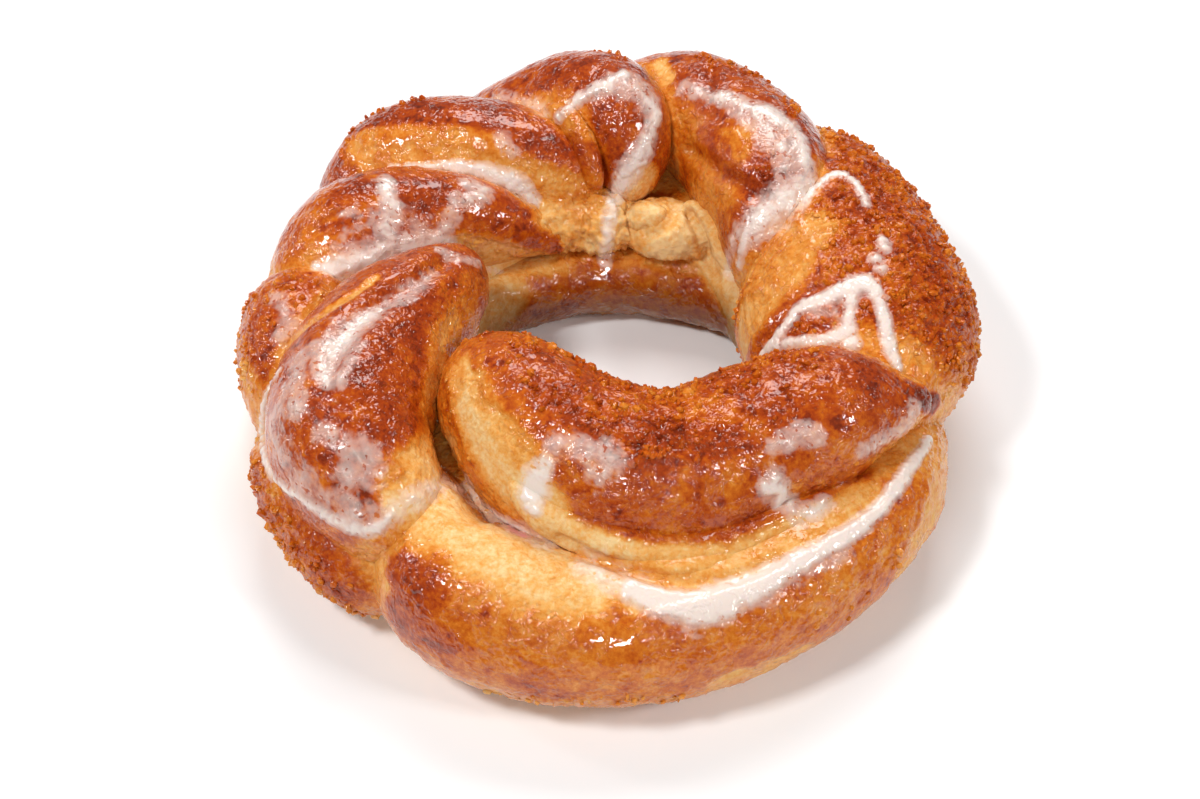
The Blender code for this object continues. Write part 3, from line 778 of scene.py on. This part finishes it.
def runTree(piece, tree, values):
    modifier = piece.modifiers.new(tree.name, "NODES")
    modifier.node_group = tree
    sockets = {item.name: item.identifier for item in tree.interface.items_tree
               if item.item_type == "SOCKET" and item.in_out == "INPUT"}
    for name, value in values.items():
        modifier[sockets[name]] = value
    depsgraph = bpy.context.evaluated_depsgraph_get()
    mesh = bpy.data.meshes.new_from_object(
        piece.evaluated_get(depsgraph), preserve_all_data_layers=True, depsgraph=depsgraph)
    piece.modifiers.clear()
    old = piece.data
    piece.data = mesh
    bpy.data.meshes.remove(old)
    mesh.name = piece.name
    mesh.shade_smooth()


def keepAboveFloor(mesh):
    points = triples(mesh.vertices, "co")
    points[:, 2] = np.maximum(points[:, 2], 0.0)
    mesh.vertices.foreach_set("co", points.ravel())
    mesh.update()


# Finishes. The ramp runs from raw dough through gold and orange to burnt.
doughFinish = {
    "colours": [
        (0.0, (0.82, 0.56, 0.26)), (0.14, (0.79, 0.41, 0.12)), (0.28, (0.73, 0.28, 0.045)),
        (0.42, (0.62, 0.165, 0.010)), (0.54, (0.50, 0.092, 0.004)), (0.66, (0.375, 0.046, 0.003)),
        (0.8, (0.215, 0.021, 0.003)), (1.0, (0.11, 0.012, 0.003))],
    "icing": (0.82, 0.71, 0.64),
    "stain": (0.88, 0.38, 0.40),
    "coatGloss": 0.95,
    "coatRoughness": 0.03,
    "toneShift": 0.0,
    "sheenLevel": 0.12,
    "sheenTint": (1.0, 0.55, 0.25),
    "mottleSize": 1.5, "mottleShare": 0.52,
    "fleckSize": 5.0, "fleckShare": 0.17,
    "filmSize": 1.1, "filmShare": 0.12, "filmSpeckSize": 2.0,
    "wrinkleSize": 4.2, "wrinkleShare": 0.9, "rippleSize": 2.4, "bumpHeight": 0.9,
    "dryRoughness": 0.42, "paleRoughness": 0.2, "coatIor": 1.52,
    "glow": 0.12, "glowRadius": (1.0, 0.4, 0.15), "glowDepth": 3.0,
}
crumbFinish = {
    **doughFinish, "coatGloss": 0.8, "coatRoughness": 0.08, "sheenLevel": 0.08, "toneShift": -0.09}


def doughMaterial(name, finish):
    material = bpy.data.materials.new(name)
    material.use_nodes = True
    tree = material.node_tree
    tree.nodes.clear()
    n = Nodes(tree)
    place = n.add("ShaderNodeTexCoord").outputs["Object"]

    def read(attribute):
        return n.add("ShaderNodeAttribute", attribute_name=attribute).outputs["Fac"]

    fleck = n.ramp(n.noise(place, finish["fleckSize"], 3.0, 0.6), 0.55, 0.68)
    fleck = n.times(fleck, n.ramp(read("tone"), 0.4, 0.56))
    mottle = n.times(n.swing(place, finish["mottleSize"], 3.0, 0.65), finish["mottleShare"])
    tone = n.plus(read("tone"), mottle, finish["toneShift"])
    tone = n.plus(tone, n.times(fleck, finish["fleckShare"]))
    colours = n.add("ShaderNodeValToRGB", {0: tone})
    while len(colours.color_ramp.elements) < len(finish["colours"]):
        colours.color_ramp.elements.new(0.5)
    for element, (at, colour) in zip(colours.color_ramp.elements, finish["colours"]):
        element.position = at
        element.color = (*colour, 1)
    thickness = n.plus(read("thickness"), n.times(n.swing(place, finish["filmSize"], 3.0, 0.6),
                                                  finish["filmShare"]))
    specks = n.ramp(n.noise(place, finish["filmSpeckSize"], 1.0), 0.64, 0.68)
    film = n.plus(n.ramp(thickness, 0.24, 0.52, 0.0, 0.38), n.ramp(thickness, 0.5, 0.92, 0.0, 0.57))
    film = n.times(film, n.less(1.0, n.times(specks, n.ramp(thickness, 0.95, 0.6, 0.0, 0.75))))
    # Painted shade: the dough colour is scaled down where the hole-side shade attribute is set.
    dough = n.add("ShaderNodeVectorMath", {
        0: colours.outputs[0], "Scale": n.less(1.0, read("paintedHoleShade"))}, operation="SCALE").outputs[0]
    colour = n.add("ShaderNodeMix", {0: film, 6: dough, 7: (*finish["icing"], 1)},
                   data_type="RGBA").outputs[2]
    colour = n.add("ShaderNodeMix", {0: read("stain"), 6: colour, 7: (*finish["stain"], 1)},
                   data_type="RGBA").outputs[2]
    crumb = read("crumb")
    pale = n.ramp(read("tone"), 0.3, 0.14)
    pool = n.times(n.pools(place), n.less(1.0, n.math("MAXIMUM", crumb, pale)))
    calm = n.times(n.less(1.0, n.times(pool, 0.93)), n.less(1.0, n.times(film, 0.55)))
    calm = n.times(calm, n.less(1.0, n.times(pale, 0.5)))
    wrinkle = n.math("ABSOLUTE", n.swing(place, finish["wrinkleSize"], 1.0, 0.4, 1.2))
    ripple = n.swing(place, finish["rippleSize"], 1.0, 0.4, 0.8)
    height = n.times(n.plus(ripple, n.times(wrinkle, finish["wrinkleShare"])), calm)
    bump = n.add("ShaderNodeBump", {
        "Strength": 1.0, "Distance": finish["bumpHeight"] * mm, "Height": height})
    gloss = n.times(n.less(1.0, n.times(pale, 0.8)), finish["coatGloss"])
    gloss = n.math("MAXIMUM", n.times(gloss, n.less(1.0, n.times(crumb, 0.45))), n.times(film, 0.9))
    shader = n.add("ShaderNodeBsdfPrincipled", {
        "Base Color": colour, "Normal": bump.outputs[0], "Coat Normal": bump.outputs[0],
        "Roughness": n.plus(finish["dryRoughness"], n.times(pale, finish["paleRoughness"])),
        "Coat Weight": gloss, "Coat Roughness": finish["coatRoughness"], "Coat IOR": finish["coatIor"],
        "Specular IOR Level": finish["sheenLevel"], "Specular Tint": (*finish["sheenTint"], 1),
        "Subsurface Weight": finish["glow"], "Subsurface Radius": finish["glowRadius"],
        "Subsurface Scale": finish["glowDepth"] * mm})
    n.add("ShaderNodeOutputMaterial", {"Surface": shader.outputs[0]})
    return material


glazedDough = doughMaterial("glazedDough", doughFinish)
toastedCrumb = doughMaterial("toastedCrumb", crumbFinish)
doughRelief = reliefTree()
pieces = []
for pieceName, mesh in basePieces.items():
    piece = addPiece(pieceName, mesh)
    runTree(piece, doughRelief, {**relief, "Finish": glazedDough})
    keepAboveFloor(piece.data)
    pieces.append(piece)
say("relief made: %d faces" % sum(len(p.data.polygons) for p in pieces))

# Loose crumbs of streusel that cling to the crust.
crumbs = {"Density": 0.2, "Smallest": 0.35, "Largest": 1.7, "Seed": 7}  # density to the square mm
crumbShape = {
    "flattest": (0.6, 0.6, 0.45), "longest": (1.45, 1.2, 1.0), "fullTurn": (6.28, 6.28, 6.28),
    "dentSize": 1.3, "dentDepth": 1.1,
}


def crumbTree():
    tree = bpy.data.node_groups.new("crumbScatter", "GeometryNodeTree")
    tree.interface.new_socket("Geometry", in_out="INPUT", socket_type="NodeSocketGeometry")
    for name in ("Density", "Smallest", "Largest"):
        tree.interface.new_socket(name, in_out="INPUT", socket_type="NodeSocketFloat")
    tree.interface.new_socket("Seed", in_out="INPUT", socket_type="NodeSocketInt")
    tree.interface.new_socket("Finish", in_out="INPUT", socket_type="NodeSocketMaterial")
    tree.interface.new_socket("Geometry", in_out="OUTPUT", socket_type="NodeSocketGeometry")
    n = Nodes(tree)
    given = n.add("NodeGroupInput").outputs
    share = n.times(n.ramp(n.stored("crumb"), 0.25, 0.9), n.stored("exposed"))
    share = n.times(share, n.ramp(n.stored("thickness"), 0.4, 0.3))
    density = n.times(n.times(share, given["Density"]), 1 / mm**2)
    scatter = n.add("GeometryNodeDistributePointsOnFaces", {
        "Mesh": given["Geometry"], "Density": density, "Seed": given["Seed"]})
    ball = n.add("GeometryNodeMeshIcoSphere", {"Radius": mm, "Subdivisions": 1}).outputs[0]

    def draw(low, high, offset, kind="FLOAT"):
        node = n.add("FunctionNodeRandomValue", data_type=kind)
        shift = 0 if kind == "FLOAT_VECTOR" else 2
        n.plug(node.inputs[shift], low)
        n.plug(node.inputs[shift + 1], high)
        n.plug(node.inputs["Seed"], offset)
        return node.outputs[0 if kind == "FLOAT_VECTOR" else 1]

    size = draw(0.0, 1.0, 3)
    size = n.add("ShaderNodeMapRange", {"Value": n.times(size, size), "To Min": given["Smallest"],
                                        "To Max": given["Largest"]}).outputs["Result"]
    squash = draw(crumbShape["flattest"], crumbShape["longest"], 5, "FLOAT_VECTOR")
    scale = n.add("ShaderNodeVectorMath", {0: squash, "Scale": size}, operation="SCALE").outputs[0]
    turned = n.add("FunctionNodeRotateRotation", {
        "Rotation": scatter.outputs["Rotation"],
        "Rotate By": draw((0.0, 0.0, 0.0), crumbShape["fullTurn"], 9, "FLOAT_VECTOR")}).outputs[0]
    placed = n.add("GeometryNodeInstanceOnPoints", {
        "Points": scatter.outputs["Points"], "Instance": ball,
        "Rotation": turned, "Scale": scale}).outputs[0]
    shape = n.add("GeometryNodeRealizeInstances", {0: placed}).outputs[0]
    place = n.add("GeometryNodeInputPosition").outputs[0]
    normal = n.add("GeometryNodeInputNormal").outputs[0]
    dent = n.times(n.swing(place, crumbShape["dentSize"], 2.0, 0.6), crumbShape["dentDepth"] * mm)
    offset = n.add("ShaderNodeVectorMath", {0: normal, "Scale": dent}, operation="SCALE").outputs[0]
    shape = n.add("GeometryNodeSetPosition", {"Geometry": shape, "Offset": offset}).outputs[0]
    shape = n.add("GeometryNodeSetMaterial", {"Geometry": shape, "Material": given["Finish"]}).outputs[0]
    n.add("NodeGroupOutput", {0: shape})
    return tree


# The crumbs lie on all the dough at once, so its pieces are joined under them.
def joinedMesh(name, meshes):
    points, quads, triangles, layers, base = [], [], [], {}, 0
    kept = ("crumb", "exposed", "thickness", "tone")
    for mesh in meshes:
        corners = np.empty(len(mesh.loops), dtype=np.int32)
        mesh.loops.foreach_get("vertex_index", corners)
        sizes = np.empty(len(mesh.polygons), dtype=np.int32)
        mesh.polygons.foreach_get("loop_total", sizes)
        starts = np.concatenate([[0], np.cumsum(sizes)[:-1]])
        quads.append(corners[starts[sizes == 4][:, None] + np.arange(4)] + base)
        triangles.append(corners[starts[sizes == 3][:, None] + np.arange(3)] + base)
        points.append(triples(mesh.vertices, "co") / mm)
        for layer in kept:
            values = np.empty(len(mesh.vertices), dtype=np.float32)
            mesh.attributes[layer].data.foreach_get("value", values)
            layers.setdefault(layer, []).append(values)
        base += len(mesh.vertices)
    joined = meshFromFaces(name, *(np.concatenate(part) for part in (points, quads, triangles)))
    for layer, values in layers.items():
        stored = joined.attributes.new(layer, "FLOAT", "POINT")
        stored.data.foreach_set("value", np.concatenate(values))
    return joined


crumbPiece = addPiece("crustCrumbs", joinedMesh("crumbBed", [piece.data for piece in pieces]))
runTree(crumbPiece, crumbTree(), {**crumbs, "Finish": toastedCrumb})
crumbPiece.data.shade_flat()
keepAboveFloor(crumbPiece.data)
pieces.append(crumbPiece)
say("crumbs scattered: %d faces" % len(crumbPiece.data.polygons))

for piece in pieces:
    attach(piece, "root")
    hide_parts("coffee_cake")

# Studio: a pale floor, a dim white sky and soft boxes.
studio = {
    "floorColour": (0.95, 0.95, 0.95),
    "floorRoughness": 0.8,
    "floorHalf": 3000.0,
    "skyStrength": 0.11,
    "aim": (0, 0, 0.03),
    "backBox": {"location": (0.05, 0.75, 0.95), "size": (0.7, 0.5), "power": 9.0},
    "keyBox": {"location": (-0.55, -0.25, 1.0), "size": (0.22, 0.22), "power": 6.8},
    "fillBox": {"location": (0.75, -0.35, 0.7), "size": (0.18, 0.18), "power": 3.2},
    "frontBox": {"location": (0.15, -1.1, 0.85), "size": (0.2, 0.1), "power": 3.6},
    "sideBox": {"location": (-0.95, 0.3, 0.5), "size": (0.1, 0.16), "power": 1.4},
}


def addLight(name, plan):
    data = bpy.data.lights.new(name, "AREA")
    data.shape = "RECTANGLE"
    data.size, data.size_y = plan["size"]
    data.energy = plan["power"]
    light = bpy.data.objects.new(name, data)
    light.location = plan["location"]
    light.rotation_mode = "QUATERNION"
    light.rotation_quaternion = (Vector(studio["aim"]) - light.location).to_track_quat("-Z", "Y")
    bpy.context.scene.collection.objects.link(light)


def addFloor():
    half = studio["floorHalf"]
    corners = np.array([(-half, -half, 0), (half, -half, 0), (half, half, 0), (-half, half, 0)])
    mesh = meshFromFaces("studioFloor", corners, np.array([[0, 1, 2, 3]]), np.empty((0, 3), int))
    floor = addPiece("studioFloor", mesh)
    material = bpy.data.materials.new("paleFloor")
    material.use_nodes = True
    shader = material.node_tree.nodes["Principled BSDF"]
    shader.inputs["Base Color"].default_value = (*studio["floorColour"], 1)
    shader.inputs["Roughness"].default_value = studio["floorRoughness"]
    mesh.materials.append(material)


addFloor()
for lightName in ("backBox", "keyBox", "fillBox", "frontBox", "sideBox"):
    addLight(lightName, studio[lightName])
world = bpy.data.worlds.new("studioSky")
world.use_nodes = True
world.node_tree.nodes["Background"].inputs[0].default_value = (1, 1, 1, 1)
world.node_tree.nodes["Background"].inputs[1].default_value = studio["skyStrength"]
bpy.context.scene.world = world
bpy.context.scene.view_settings.view_transform = "Standard"
say("studio set")
